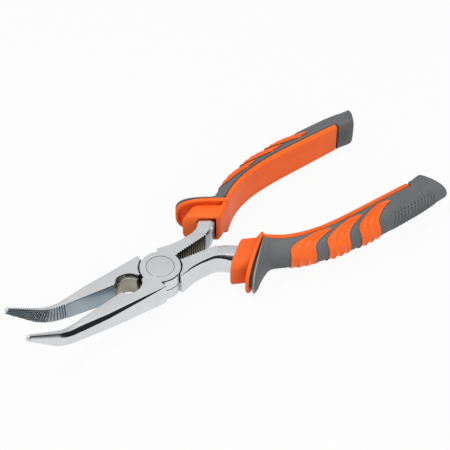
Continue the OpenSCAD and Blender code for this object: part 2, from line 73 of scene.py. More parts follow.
# Jaws, by run along the top edge
JAW_ROOT = 5.0
TAPER_START = 8.6
JAW_MID = 30.8
BEND_START = 44.0
BEND_R = 15.0
BEND_ANGLE = 32.5
JAW_LENGTH = 64.42
ROOT_W, MID_W, BEND_W, TIP_W = 9.9, 6.6, 4.0, 1.9
BEND_D, TIP_D = 8.0, 2.6
ROOT_ROUND = 0.3
JAW_RUN = (BEND_START + BEND_R * math.radians(BEND_ANGLE)
           + (JAW_LENGTH - BEND_START - BEND_R * math.sin(math.radians(BEND_ANGLE)))
           / math.cos(math.radians(BEND_ANGLE)))
TOOTH_START = 41.5
TOOTH_PITCH = 1.0
TOOTH_DEPTH = 0.4
# The teeth fade out between two runs before the tip, and the hatching comes in between two runs
TEETH_FADE, TEETH_END = 1.0, 0.4
HATCH_START, HATCH_FULL = 46.0, 49.0
HATCH_PITCH = 0.85
HATCH_SHARE = 0.85
MATE = 0.05
FACE_EDGE = 0.15
TIP_ROUND = 0.6
# The ground edge on top: its fall for its width, and how its width grows along the jaw
EDGE_SLOPE = 1.376
EDGE_START, EDGE_FULL, EDGE_GROWTH = 7.0, 42.0, 0.75
EDGE_ROOT_W, EDGE_NOSE_W = 0.2, 1.75
# The round edge below, and the most that edges may take of a section's width and depth
LOW_ROUND = 2.4
EDGE_W_SHARE, EDGE_D_SHARE, ROUND_W_SHARE, ROUND_D_SHARE = 0.42, 0.4, 0.6, 0.42

# Round hole between the jaws
HOLE_X = 15.1
HOLE_OFF = 2.1
HOLE_R = 4.9
MOUTH_R = 5.6
MOUTH_DEPTH = 2.4
# How far down the mouth's wall painted shade reaches, where the wall does not face -x
MOUTH_SHADE = 1.1
HOLE_BEVEL = 0.25
STEP_EASE, LEDGE_EASE = 0.2, 0.1

# Toothed shanks behind the joint
SHOULDER = (4.2, 0.9)
REAR_TOOTH_START = 9.6
REAR_TOOTH_PITCH = 1.2
REAR_TEETH = 13
REAR_TOOTH_DEPTH = 0.5
TOOTH_LINE = 0.44
TANG_RUN = 8.6
BOW_SHARE, BOW = 0.42, (0.3, -0.5)
TOOTH_CHAMFER, SHANK_CHAMFER = 0.1, 1.7
SHOULDER_EDGE = 0.2
SHOULDER_ROUND = 0.8

# Grip
HANDLE = 128.6
PANEL_END = 112.4
GUARD_X = 43.8
GUARD_Y = 12.2
GUARD_RAKE = 37.0
GUARD_REACH = 22.8
GUARD_H = 18.6
SPREAD = 22.6
GRIP_W = 11.8
GRIP_H = 17.2
BUTT_H = 14.4
RIM = 1.5
RIM_DROP = 0.35
STRIP_W = 2.5
GROOVE = 1.2
LIP = 1.0
FLANGE_PROUD = 0.78
FLANGE_REACH = 0.3
FLANGE_T = 1.9
COLLAR_LEN = 9.1
COLLAR_W = 16.0
COLLAR_H = 14.4
COLLAR_OUTER_ROUND = 4.0
COLLAR_LEAN = 0.46
SHANK_W = 8.2
SHANK_U = 6.05
SHANK_EDGE = 1.6
SOCKET_GAP = 0.4
MOUTH_GAP = 0.12

# Fins
FIN_START = 47.4
FIN_PITCH = 15.4
FIN_W = 10.0
FIN_SWEEP = 20.2
FIN_PROUD = 0.7
FIN_DEPTH = 0.8
FIN_FLUTE = 0.62
# Front edge: bends back from the shoulder and runs on to the top. Rear edge: from the heel to the hook.
FIN_SHOULDER, FIN_TOP, FIN_CREST = 30.0, 71.0, 14.0
FIN_HEEL, FIN_HOOK, FIN_TIP_ROUND = 20.0, 64.5, 4.7

# How finely the pieces are drawn, and how far a cutting shape reaches past a face
SPIN_STEPS = 160
ROUND_STEPS = 9
FACE_POINTS = 25
RINGS_PER_TOOTH = 8
EASE = 0.3
PAST = 1.0
CUT_TOP = HALF_T + PAST


def share(x, a, b):
    return min(1.0, max(0.0, (x - a) / (b - a)))


def mix(a, b, s):
    return a + (b - a) * s


def smooth(s):
    return s * s * (3 - 2 * s)


def turned(p, degrees):
    c, s = math.cos(math.radians(degrees)), math.sin(math.radians(degrees))
    return np.array([p[0] * c - p[1] * s, p[0] * s + p[1] * c])


def arc(cx, cy, r, start, end, steps):
    angles = np.radians(np.linspace(start, end, steps + 1))
    return [(cx + r * math.cos(q), cy + r * math.sin(q)) for q in angles]


def line_through(marks, t):
    """A smooth line through (t, x, y) marks."""
    ts = [m[0] for m in marks]
    ps = [np.array(m[1:], float) for m in marks]
    k = max(0, min(len(ts) - 2, int(np.searchsorted(ts, t)) - 1))

    def slope(i):
        a, b = max(0, i - 1), min(len(ts) - 1, i + 1)
        return (ps[b] - ps[a]) / (ts[b] - ts[a])
    h = ts[k + 1] - ts[k]
    s = (t - ts[k]) / h
    return ((2 * s**3 - 3 * s**2 + 1) * ps[k] + (s**3 - 2 * s**2 + s) * h * slope(k)
            + (3 * s**2 - 2 * s**3) * ps[k + 1] + (s**3 - s**2) * h * slope(k + 1))


def ground_corner(w, h, across, down, soft):
    """Points over a corner whose edge is ground to a flat: from the top face over the flat to the side."""
    p, q = np.array([w - across, h]), np.array([w, h - down])
    e = (q - p) / np.linalg.norm(q - p)
    points = []
    for mid, before, after in ((p, p - (soft, 0), p + e * soft), (q, q - e * soft, q - (0, soft))):
        points += [(1 - k) ** 2 * before + 2 * k * (1 - k) * mid + k * k * after for k in (0, 0.33, 0.67, 1)]
    return [tuple(v) for v in points]


def skin(rings):
    """A closed skin over rings of equal length."""
    n = len(rings[0])
    points = [tuple(p) for ring in rings for p in ring]
    faces = [(k * n + i, k * n + (i + 1) % n, (k + 1) * n + (i + 1) % n, (k + 1) * n + i)
             for k in range(len(rings) - 1) for i in range(n)]
    last = (len(rings) - 1) * n
    faces += [tuple(range(n)), tuple(range(last, last + n))]
    return points, faces


def spun(profile, x=0.0, y=0.0):
    """A solid of revolution about an upright axis; the profile starts and ends on the axis."""
    steps = SPIN_STEPS
    points = [(x, y, profile[0][1]), (x, y, profile[-1][1])]
    inner = profile[1:-1]
    for r, z in inner:
        points += [(x + r * math.cos(2 * math.pi * i / steps), y + r * math.sin(2 * math.pi * i / steps), z)
                   for i in range(steps)]
    faces = []
    for i in range(steps):
        j = (i + 1) % steps
        faces.append((0, 2 + i, 2 + j))
        for k in range(len(inner) - 1):
            o = 2 + k * steps
            faces.append((o + i, o + steps + i, o + steps + j, o + j))
        o = 2 + (len(inner) - 1) * steps
        faces.append((1, o + j, o + i))
    return points, faces


def solid(shape, name):
    """A mesh object from points and faces, with its normals outwards."""
    mesh = bpy.data.meshes.new(name)
    mesh.from_pydata(shape[0], [], shape[1])
    bm = bmesh.new()
    bm.from_mesh(mesh)
    bmesh.ops.recalc_face_normals(bm, faces=bm.faces)
    bm.to_mesh(mesh)
    bm.free()
    obj = bpy.data.objects.new(name, mesh)
    bpy.context.scene.collection.objects.link(obj)
    return obj


def baked(obj):
    """Takes the object's modifiers into its mesh."""
    bpy.context.view_layer.update()
    mesh = bpy.data.meshes.new_from_object(obj.evaluated_get(bpy.context.evaluated_depsgraph_get()))
    old = obj.data
    obj.modifiers.clear()
    obj.data = mesh
    bpy.data.meshes.remove(old)


def worked(obj, shape, operation):
    """Joins a shape to the object or cuts it away."""
    tool = solid(shape, "tool")
    mod = obj.modifiers.new("work", "BOOLEAN")
    mod.operation = operation
    mod.solver = "MANIFOLD"
    mod.object = tool
    baked(obj)
    mesh = tool.data
    bpy.data.objects.remove(tool)
    bpy.data.meshes.remove(mesh)


def hand_over(obj, name, near, body, nodes, finishes, pick=None, crease=32):
    """Puts a finished piece in its place: metres, side, finish, shading, body."""
    mesh = obj.data
    mesh.materials.clear()
    for finish in finishes:
        mesh.materials.append(finish)
    for face in mesh.polygons:
        face.material_index = pick(face) if pick else 0
    bm = bmesh.new()
    bm.from_mesh(mesh)
    bmesh.ops.dissolve_degenerate(bm, edges=bm.edges, dist=1e-4)
    for v in bm.verts:
        v.co = (v.co.x * MM, (-v.co.y if near else v.co.y) * MM, (v.co.z + HALF_T) * MM)
    if near:
        bmesh.ops.reverse_faces(bm, faces=bm.faces)
    bm.to_mesh(mesh)
    bm.free()
    mesh.shade_smooth()
    mesh.set_sharp_from_angle(angle=math.radians(crease))
    mod = obj.modifiers.new("even", "WEIGHTED_NORMAL")
    mod.keep_sharp = True
    mod.weight = 80
    baked(obj)
    obj.name = name
    obj.data.name = name
    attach(obj, body)
    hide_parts(*nodes)


# Steel levers, drawn for the far handle and the near jaw

def jaw_place(a):
    """Place on the jaw's top edge at run a: x, z and slope."""
    b = math.radians(BEND_ANGLE)
    if a <= BEND_START:
        return -a, HALF_T, 0.0
    if a <= BEND_START + BEND_R * b:
        q = (a - BEND_START) / BEND_R
        return -BEND_START - BEND_R * math.sin(q), HALF_T + BEND_R * (1 - math.cos(q)), q
    s = a - BEND_START - BEND_R * b
    return (-BEND_START - BEND_R * math.sin(b) - s * math.cos(b),
            HALF_T + BEND_R * (1 - math.cos(b)) + s * math.sin(b), b)


def jaw_width(a):
    if a < JAW_MID:
        return mix(ROOT_W, MID_W, share(a, JAW_ROOT, JAW_MID))
    if a < BEND_START:
        return mix(MID_W, BEND_W, share(a, JAW_MID, BEND_START))
    return mix(BEND_W, TIP_W, share(a, BEND_START, JAW_RUN))


def jaw_depth(a):
    if a < BEND_START:
        return mix(2 * HALF_T, BEND_D, share(a, TAPER_START, BEND_START))
    return mix(BEND_D, TIP_D, share(a, BEND_START, JAW_RUN))


def tooth_inset(a, v):
    """Depth of the gripping face at run a, v below the top edge: cross teeth, then a hatched nose."""
    if a < TOOTH_START:
        return 0.0
    fade = 1 - smooth(share(a, JAW_RUN - TEETH_FADE, JAW_RUN - TEETH_END))
    cross = 0.5 - 0.5 * math.cos(2 * math.pi * (a - TOOTH_START) / TOOTH_PITCH)
    along = 0.5 - 0.5 * math.cos(2 * math.pi * v / HATCH_PITCH)
    hatch = HATCH_SHARE * along * smooth(share(a, HATCH_START, HATCH_FULL))
    return TOOTH_DEPTH * fade * max(cross, hatch)


def jaw_ring(a, shrink=0.0):
    """Section of the jaw at run a: toothed face, ground edge on top, round edge below."""
    w = jaw_width(a) - shrink
    d = jaw_depth(a) - 2 * shrink
    grown = share(a, EDGE_START, EDGE_FULL) ** EDGE_GROWTH
    across = min(EDGE_W_SHARE * w, mix(EDGE_ROOT_W, EDGE_NOSE_W, grown))
    down = min(EDGE_D_SHARE * d, across * EDGE_SLOPE)
    v = min(ROUND_W_SHARE * w, ROUND_D_SHARE * d, LOW_ROUND)
    e = FACE_EDGE
    face = np.linspace(-d + e, -e, FACE_POINTS)
    flat = [(MATE + tooth_inset(a, -z), z) for z in face]
    top_y, low_y = flat[-1][0], flat[0][0]
    flat += [(top_y + EASE * e, -EASE * e), (top_y + e, 0.0)]
    flat += ground_corner(w, 0.0, across, down, EASE * across)
    flat += arc(w - v, -d + v, v, 0, -90, ROUND_STEPS)
    flat += [(mix(w - v, low_y + e, k / 3), -d) for k in (1, 2)]
    flat += [(low_y + e, -d), (low_y + EASE * e, -d + EASE * e)]
    x, z, slope = jaw_place(a)
    ring = []
    for y, h in flat:
        h -= shrink
        p = turned((x + h * math.sin(slope), -y), HALF_OPEN)
        ring.append((p[0], p[1], z + h * math.cos(slope)))
    return ring


def jaw_shape():
    runs = list(np.linspace(JAW_ROOT + ROOT_ROUND, TAPER_START, 5))
    runs += list(np.linspace(TAPER_START, TOOTH_START, 45)[1:])
    runs += list(np.arange(TOOTH_START, JAW_RUN - TIP_ROUND, TOOTH_PITCH / RINGS_PER_TOOTH)[1:])
    rings = [jaw_ring(JAW_ROOT, ROOT_ROUND)] + [jaw_ring(a) for a in runs]
    for q in (20, 40, 60, 75, 88):
        rings.append(jaw_ring(JAW_RUN - TIP_ROUND * (1 - math.sin(math.radians(q))),
                              TIP_ROUND * (1 - math.cos(math.radians(q)))))
    return skin(rings)


guard_along = np.array([-math.cos(math.radians(GUARD_RAKE)), math.sin(math.radians(GUARD_RAKE))])
guard_back = np.array([math.sin(math.radians(GUARD_RAKE)), math.cos(math.radians(GUARD_RAKE))])
guard_corner = np.array([GUARD_X, GUARD_Y])


def guard_point(s, k, z=None):
    """A point s along the guard and k behind it."""
    p = guard_corner + guard_along * s + guard_back * k
    return p if z is None else (p[0], p[1], z)


def at_collar(off, k=0.0):
    """A point off the shank's middle line, k behind the collar's front."""
    return guard_point(COLLAR_LEAN * COLLAR_LEN + SHANK_U + off - COLLAR_LEAN * k, k - COLLAR_LEN)


# Marks on the shank's two side lines: where along the shank, x and y
tooth_end = turned((REAR_TOOTH_START + REAR_TEETH * REAR_TOOTH_PITCH, TOOTH_LINE), HALF_OPEN)
shank_in = at_collar(-SHANK_W / 2)
shank_out = at_collar(SHANK_W / 2)
shank_bow = mix(tooth_end, shank_in, BOW_SHARE) + np.array(BOW)
INNER_LINE = [(2, *tooth_end), (3, *shank_bow), (4, *shank_in), (5, *at_collar(-SHANK_W / 2, TANG_RUN))]
OUTER_LINE = [(0, SHOULDER[0], 9.185), (0.5, 7.3, 8.7), (1, 10.5, 8.15), (1.35, 14.5, 8.05), (1.7, 18, 8.35),
              (2, 20.8, 8.75), (3, 23.8, 10.5), (4, *shank_out), (5, *at_collar(SHANK_W / 2, TANG_RUN))]


def shank_ring(t, shrink=0.0):
    """Section of the shank: 0 at its shoulder, 1 to 2 along the teeth, 4 at the collar, 5 inside it."""
    if t <= 1:
        inner = mix(np.array(SHOULDER), turned((REAR_TOOTH_START, TOOTH_LINE), HALF_OPEN), t)
    elif t <= 2:
        run = (t - 1) * REAR_TEETH
        dip = REAR_TOOTH_DEPTH * (1 - abs(2 * (run % 1) - 1)) if t < 2 else 0.0
        inner = turned((REAR_TOOTH_START + run * REAR_TOOTH_PITCH, TOOTH_LINE + dip), HALF_OPEN)
    else:
        inner = line_through(INNER_LINE, t)
    outer = line_through(OUTER_LINE, t)
    w = float(np.linalg.norm(outer - inner))
    e = (outer - inner) / w
    w -= shrink
    h = HALF_T - shrink
    c = mix(TOOTH_CHAMFER, SHANK_CHAMFER, smooth(share(t, 2.0, 2.3)))
    first, second = 0.22 * c, 0.5 * c
    across = mix(SHOULDER_EDGE, SHANK_EDGE, share(t, 0.2, 3.8))
    v = mix(SHOULDER_ROUND, LOW_ROUND, smooth(share(t, 0.0, 2.0)))
    flat = [(0.0, z) for z in np.linspace(-h + c, h - c, 6)]
    flat += [(first, h - second), (second, h - first), (c, h)]
    flat += ground_corner(w, h, across, across * EDGE_SLOPE, EASE * across)
    flat += arc(w - v, v - h, v, 0, -90, ROUND_STEPS)
    flat += [(mix(w - v, c, k / 3), -h) for k in (1, 2)]
    flat += [(c, -h), (second, first - h), (first, second - h)]
    return [(*(inner + e * u), z) for u, z in flat]


def shank_shape():
    on_teeth = REAR_TEETH * RINGS_PER_TOOTH
    ts = list(np.linspace(0.06, 1, 10)) + list(1 + np.arange(1, on_teeth + 1) / on_teeth)
    ts += [2.03, 2.06, 2.09, 2.12] + list(np.linspace(2.16, 5, 80))
    start = [shank_ring(0, ROOT_ROUND), shank_ring(0.03, EASE * ROOT_ROUND)]
    return skin(start + [shank_ring(t) for t in ts])


def disc_shape(side):
    """A lever's half of the joint, with a ground outer edge and a bevel at the lap."""
    profile = [(0, LAP), (DISC_R - LAP_BEVEL, LAP), (DISC_R, LAP + LAP_BEVEL),
               (DISC_R, HALF_T - DISC_EDGE * EDGE_SLOPE), (DISC_R - DISC_EDGE, HALF_T), (0, HALF_T)]
    return spun(profile if side > 0 else [(r, -z) for r, z in reversed(profile)])


def room_for_disc(side):
    """What a lever leaves out for the other lever's disc, with a bevelled mouth."""
    mouth = CUT_R + CUT_BEVEL + PAST
    profile = [(0, -LAP), (CUT_R, -LAP), (CUT_R, HALF_T - CUT_BEVEL), (mouth, CUT_TOP), (0, CUT_TOP)]
    return spun([(r, -z) for r, z in reversed(profile)] if side > 0 else profile)


def both_ways(half):
    """The upper half of a profile, with the same below it."""
    return [(r, -z) for r, z in reversed(half)] + half


def rivet_seat(clear):
    r, s = RIVET_R + clear, SHAFT_R + clear
    neck = HALF_T - RIVET_RIM - (r - s)
    mouth = r + SEAT_BEVEL + PAST
    return spun(both_ways([(s, neck), (r, HALF_T - RIVET_RIM), (r, HALF_T - SEAT_BEVEL), (mouth, CUT_TOP),
                           (0, CUT_TOP)]))


hole_centre = turned((-HOLE_X, HOLE_OFF), HALF_OPEN)


def hole_shape():
    """The round hole: a plain bore from below, and a wider mouth with a step on top."""
    step = HALF_T - MOUTH_DEPTH
    bore = [(0, -CUT_TOP), (HOLE_R + HOLE_BEVEL + PAST, -CUT_TOP), (HOLE_R, HOLE_BEVEL - HALF_T),
            (HOLE_R, step - STEP_EASE), (HOLE_R + STEP_EASE, step)]
    mouth = [(MOUTH_R - LEDGE_EASE, step), (MOUTH_R, step + LEDGE_EASE), (MOUTH_R, HALF_T - MOUTH_SHADE),
             (MOUTH_R, HALF_T - HOLE_BEVEL), (MOUTH_R + HOLE_BEVEL + PAST, CUT_TOP), (0, CUT_TOP)]
    return spun(bore + mouth, *hole_centre)


# Lever finishes: polished steel, ground steel, bare steel, and a near-black painted shade for gaps, seams,
# valleys and the hole's mouth
POLISHED, GROUND_AND_REFLECTION, BARE, PAINTED_SHADE = range(4)
# Where the other lever's jaw and shank lie round the disc at rest, and the corner at its own jaw, in degrees;
# there the disc's rim takes painted shade
JAW_GAP, SHANK_GAP, JAW_CORNER = (112, 174), (-64, -5), (-125, -112)
# How near a face must lie to a wall to be part of it, and how deep a tooth's valley starts, as a share;
# deeper than that a valley takes painted shade
ON_WALL = 0.1
JAW_VALLEY, REAR_VALLEY = 0.72, 0.5


def lever_finish(face):
    """Which finish a face of a lever takes, by its middle and its direction; the dark finish is painted
    shade, and on the shank's inner side the ground finish is a painted dim reflection.
    """
    c, n = face.center, face.normal
    x, y = turned((c.x, c.y), -HALF_OPEN)
    facing = turned((n.x, n.y), -HALF_OPEN)
    level, upright = abs(n.z) > 0.9, abs(n.z) < 0.3
    out = math.hypot(c.x, c.y)
    hole = math.hypot(c.x - hole_centre[0], c.y - hole_centre[1])
    # Inside the hole: painted shade on the upper part of the wall and on the ledge, down the whole mouth
    # where the wall faces -x; below that the bore is bare steel, and its bevels stay polished.
    if hole < MOUTH_R + 0.05 and abs(c.z) < HALF_T - 0.3 and x < -DISC_R:
        if upright:
            shade_depth = MOUTH_DEPTH if n.x < -0.3 else MOUTH_SHADE
            return PAINTED_SHADE if c.z > HALF_T - shade_depth else BARE
        return PAINTED_SHADE if level else POLISHED
    # Painted shade on the wall cut for the other lever's disc
    if abs(out - CUT_R) < ON_WALL and upright and c.x * n.x + c.y * n.y < 0:
        return PAINTED_SHADE
    # Painted shade on the disc's rim beside the other lever's jaw and shank, and in the corner at its own jaw
    if abs(out - DISC_R) < ON_WALL and upright:
        angle = math.degrees(math.atan2(c.y, c.x))
        if any(first < angle < last for first, last in (JAW_GAP, SHANK_GAP, JAW_CORNER)):
            return PAINTED_SHADE
    # Painted shade on the lap bevel, in the seam between the discs
    if DISC_R - LAP_BEVEL < out < DISC_R + 0.02 and abs(c.z) < LAP + LAP_BEVEL and not level:
        return PAINTED_SHADE
    # Painted shade on the seat's bevel, a ring round the rivet
    if RIVET_R - 0.05 < out < RIVET_R + 0.3 and abs(c.z) > HALF_T - SEAT_BEVEL - 0.02 and not level:
        return PAINTED_SHADE
    # On the jaw's mating face: painted shade in the teeth's valleys and between the hole and the joint; the
    # crests are ground steel
    if x < -TAPER_START and abs(y + MATE) < 0.6 and facing[1] > 0.3:
        return PAINTED_SHADE if -y - MATE > JAW_VALLEY * TOOTH_DEPTH or x > -HOLE_X else GROUND_AND_REFLECTION
    run = x - REAR_TOOTH_START
    # On the shank's teeth: painted shade in the valleys, bare steel on the crests
    if -0.6 < run < REAR_TEETH * REAR_TOOTH_PITCH and abs(y - TOOTH_LINE) < 0.62 and abs(n.z) < 0.4:
        return PAINTED_SHADE if y - TOOTH_LINE > REAR_VALLEY * REAR_TOOTH_DEPTH else BARE
    # The shank's inner side behind the teeth: the ground finish here is a painted darker reflection of the
    # other grip
    if run >= REAR_TEETH * REAR_TOOTH_PITCH and facing[1] < -0.4 and abs(n.z) < 0.4:
        return GROUND_AND_REFLECTION
    return POLISHED


def lever(name, side, near, body, node, clear):
    obj = solid(jaw_shape(), "lever")
    worked(obj, shank_shape(), "UNION")
    worked(obj, room_for_disc(side), "DIFFERENCE")
    worked(obj, disc_shape(side), "UNION")
    worked(obj, rivet_seat(clear), "DIFFERENCE")
    worked(obj, hole_shape(), "DIFFERENCE")
    hand_over(obj, name, near, body, [node],
              [polished_steel, ground_steel_and_reflection, bare_steel, painted_shade_steel], lever_finish, crease=28)


def rivet():
    b = RIVET_EDGE
    r, s = RIVET_R - RIVET_PLAY, SHAFT_R
    neck = HALF_T - RIVET_RIM - (r - s)
    half = [(s, neck), (r, HALF_T - RIVET_RIM), (r, HALF_T - b), (r - EASE * b, HALF_T - EASE * b),
            (r - b, HALF_T), (0, HALF_T)]
    obj = solid(spun(both_ways(half)), "rivet")
    hand_over(obj, "rivet", False, "over_half", ["pivot_rivet"], [rivet_face])


# Moulded grips, drawn for the far side

guard_tip = guard_point(GUARD_REACH, 0)
NECK_X, BODY_X, SWING_X, HIP_X, NECK_END = 37.5, 100.0, 70.0, 75.0, 50.0
NECK_BLEND, NECK_Y = 3.0, 18.5
BUTT_RAKE, BUTT_FLARE = 9.8, 0.7
BUTT_DRAW, BUTT_DRAW_LEAD = 0.9, 4.0
FLARE_START, FLARE_FULL = PANEL_END + 3.2, PANEL_END + 7.4
TIP_T, TIP_RUN, TIP_GROW = 3.3, 3.9, 0.08
# How sharply the grip's lines bend, the neck's slope, and how full its section is at the guard and behind it
INNER_BEND, INNER_SWING, OUTER_BEND, NECK_SLOPE = 5.45, 2.3, 3.1, 0.8
GUARD_FULL, GRIP_FULL, FULL_RUN = 3, 2, 5
# The cover's front lip, back from its crest into the groove behind the flange: run, and how far it is inset
COVER_LIP = ((1.9, 0.0), (1.5, -0.03), (1.2, -0.08), (0.95, -0.13), (0.75, -0.15), (0.6, -0.1), (0.48, 0.05),
             (0.38, 0.3), (0.28, 0.65), (0.18, 1.05), (0.08, 1.45), (0.02, 1.8))
# Rows of the lip's crest that take a painted highlight
HIGHLIGHT_ROWS = (6, 9)
# Ribs on the butt: size and pitches, their field along the grip and round it, their lean, ribs against dots
BUTT_RIB, BUTT_RIB_PITCH, BUTT_DOT_PITCH = 0.5, 1.9, 9.0
RIB_FRONT, RIB_BACK = (94.5, 97.0), (119.5, 122.0)
RIB_TOP, RIB_FOOT = (34, 44), (-50, -34)
RIB_LEAN, RIB_SHARE, DOT_SHARE = 0.05, 0.45, 0.2
# Groove depth below which the ribs take painted shade
RIB_SHADE_DEPTH = -0.12
# The butt's end: how far its rings shrink and how far they stand behind BUTT_X
BUTT_X = HANDLE - 1.5
BUTT_DOME = ((0.12, 0.45), (0.35, 0.85), (0.75, 1.2), (1.4, 1.5), (2.4, 1.75), (3.6, 1.9))


def inner_y(x):
    y = SPREAD - (SPREAD - GUARD_Y) * (1 - share(x, GUARD_X, PANEL_END)) ** INNER_BEND
    return y - BUTT_FLARE * smooth(share(x, FLARE_START, FLARE_FULL))


def inner_x(x):
    return (x + (GUARD_X - guard_tip[0]) * (1 - share(x, guard_tip[0], SWING_X)) ** INNER_SWING
            - BUTT_RAKE * share(x, PANEL_END, HANDLE) ** 2)


def outer_y(x):
    if x <= guard_tip[0]:
        return guard_tip[1]
    run = x - guard_tip[0]
    nose = math.sqrt(1 - (1 - min(1, run / TIP_RUN)) ** 2)
    a = guard_tip[1] - run * math.tan(math.radians(GUARD_RAKE)) + TIP_T * nose + TIP_GROW * run
    top = SPREAD + GRIP_W - BUTT_DRAW * smooth(share(x, PANEL_END - BUTT_DRAW_LEAD, HANDLE))
    b = top - (top - NECK_Y) * (1 - share(x, NECK_X, BODY_X)) ** OUTER_BEND - max(0, NECK_X - x) * NECK_SLOPE
    return (a + b + math.sqrt((a - b) ** 2 + NECK_BLEND ** 2)) / 2


def half_height(x):
    if x < HIP_X:
        return mix(GUARD_H, GRIP_H, smooth(share(x, guard_tip[0], NECK_END))) / 2
    return mix(GRIP_H, BUTT_H, share(x, HIP_X, HANDLE) ** 2) / 2


def fullness(x):
    return mix(GUARD_FULL, GRIP_FULL, smooth(share(x, guard_tip[0], guard_tip[0] + FULL_RUN)))


class Station:
    """A line across the grip, from its inner edge to its outer side at x."""
    def __init__(self, x):
        xi = inner_x(x)
        self.inner = np.array([xi, inner_y(xi)])
        outer = np.array([x, outer_y(x)])
        self.w = float(np.linalg.norm(outer - self.inner))
        self.e = (outer - self.inner) / self.w
        self.h = half_height(x)
        self.p = fullness(x)

    def at(self, u, z, push=0.0):
        """A point u across and z up, pushed along the grip square to the line."""
        q = self.inner + self.e * u + np.array([self.e[1], -self.e[0]]) * push
        return (q[0], q[1], z)

    def side(self, q, shrink=0.0):
        """A point on the rounded side: q is 0 at the outer side and 90 at the top of the inner edge."""
        c, s = math.cos(math.radians(q)), math.sin(math.radians(q))
        return ((self.w - shrink) * max(0, c) ** (2 / self.p),
                (self.h - shrink) * math.copysign(abs(s) ** (2 / self.p), s))

    def angle_at(self, u):
        return math.degrees(math.acos(min(1, u / self.w) ** (self.p / 2)))

    def out(self, q):
        """Outward direction on the rounded side."""
        c, s = math.cos(math.radians(q)), math.sin(math.radians(q))
        k = 2 - 2 / self.p
        n = np.array([max(0, c) ** k / self.w, math.copysign(abs(s) ** k, s) / self.h])
        return n / np.linalg.norm(n)


def panel_flat(h, shrink=0.0):
    """Section of the hard panel: flat inside, bevelled rim, strip falling to the groove."""
    a, b, c = h - RIM, h - RIM_DROP, h - GROOVE
    flat = [(shrink, z) for z in np.linspace(-a + 0.25, a - 0.25, 9)]
    top = [(shrink + 0.05, a), (shrink + 0.22, a + 0.17), (shrink + 0.85, b - 0.22), (RIM + 0.05, b - 0.02),
           (RIM + 0.35, b - 0.1), (mix(RIM, STRIP_W, 0.6), mix(b, c, 0.55)), (STRIP_W - 0.06, c - 0.02),
           (STRIP_W + 0.12, c - 0.5)]
    return flat + top + [(u, -z) for u, z in reversed(top)]


def panel_ring(x, shrink=0.0):
    st = Station(x)
    return [st.at(u, z) for u, z in panel_flat(st.h - shrink, shrink)]


def wall_ring(k, shrink=0.0):
    """The panel's inner face goes on along the collar, in front of the guard."""
    rise = smooth(share(k, -FLANGE_T - 1.6, -FLANGE_T + 0.3))
    h = mix(COLLAR_H / 2 + RIM_DROP - 0.04, GUARD_H / 2, rise) - shrink
    return [guard_point(COLLAR_LEAN * -k + u, k, z) for u, z in panel_flat(h, shrink)]


# Rounded ends of the panel: distance from the end, and how far the ring shrinks
PANEL_FRONT = ((0.03, 1.25), (0.12, 0.8), (0.35, 0.42), (0.75, 0.14), (1.3, 0.0))
PANEL_REAR = ((0.9, 0.1), (0.5, 0.32), (0.15, 0.7), (0.0, 1.3))


def panel_shape():
    start = float(guard_tip[0])
    rings = [wall_ring(-COLLAR_LEN + run, shrink) for run, shrink in PANEL_FRONT]
    rings += [wall_ring(k) for k in np.linspace(1.9 - COLLAR_LEN, -0.4, 18)]
    xs = list(np.linspace(start + 0.02, NECK_END, 36)) + list(np.linspace(NECK_END, PANEL_END - 1.3, 60)[1:])
    rings += [panel_ring(x) for x in xs]
    rings += [panel_ring(PANEL_END - run, shrink) for run, shrink in PANEL_REAR]
    return skin(rings)


GUARD_STEPS = 44
GUARD_SHOULDER = 1.4
# The flange from its back over the bead into the dish: place along the tool, and how far the ring shrinks
FLANGE_STEPS = ((-0.3, 0.5), (-0.4, 0.22), (-0.6, 0.05), (-0.85, 0.0), (-1.15, 0.0), (-1.5, 0.12),
                (-1.76, 0.38), (-1.9, 0.75), (-1.88, 1.05), (-1.7, 1.35), (-1.35, 1.55), (-0.95, 1.7),
                (-0.72, 1.95), (-0.66, 2.4))


def guard_outline(w, h):
    """Outline of the guard: straight inside with rounded corners, full and round outside."""
    top = math.degrees(math.acos((GUARD_SHOULDER / w) ** (GUARD_FULL / 2)))
    power = 2 / GUARD_FULL
    side = []
    for q in np.linspace(top, -top, GUARD_STEPS + 1):
        c, s = math.cos(math.radians(q)), math.sin(math.radians(q))
        side.append((w * c ** power, h * math.copysign(abs(s) ** power, s)))
    corner = [(0, -h + 1.2), (0, 0), (0, h - 1.2), (0.12, h - 0.65), (0.5, h - 0.2)]
    return corner + side + [(0.5, 0.2 - h), (0.12, 0.65 - h)]


def flange_shape():
    """The guard's hard flange: a round bead along its edge and a dish inside it, round the collar."""
    def ring(k, shrink):
        lean = COLLAR_LEAN * abs(k)
        w, h = GUARD_REACH + FLANGE_REACH - lean, GUARD_H / 2 + FLANGE_PROUD
        return [guard_point(lean + 0.12 + shrink + u * (w - 2 * shrink) / w, k, z * (h - shrink) / h)
                for u, z in guard_outline(w, h)]
    return skin([ring(k, shrink) for k, shrink in FLANGE_STEPS])


COLLAR_INNER_ROUND, COLLAR_FRONT_ROUND = 1.2, 1.0
COLLAR_INSET = 0.3
COLLAR_WALL = -2.7
# The collar's root sinks into the dish: place along the tool, and how far the ring spreads
COLLAR_FOOT = ((-0.3, -0.9), (-1.3, -0.9), (-1.75, -0.75), (-2.05, -0.4), (-2.2, -0.15), (-2.4, -0.03))


def collar_outline(a, b, h):
    """A rectangle from a to b, of half height h, with its corners rounder on the outer side."""
    q, r, steps = COLLAR_OUTER_ROUND, COLLAR_INNER_ROUND, ROUND_STEPS
    return (arc(b - q, h - q, q, 90, 0, steps) + arc(b - q, q - h, q, 0, -90, steps)
            + arc(a + r, r - h, r, -90, -180, steps) + arc(a + r, h - r, r, 180, 90, steps))


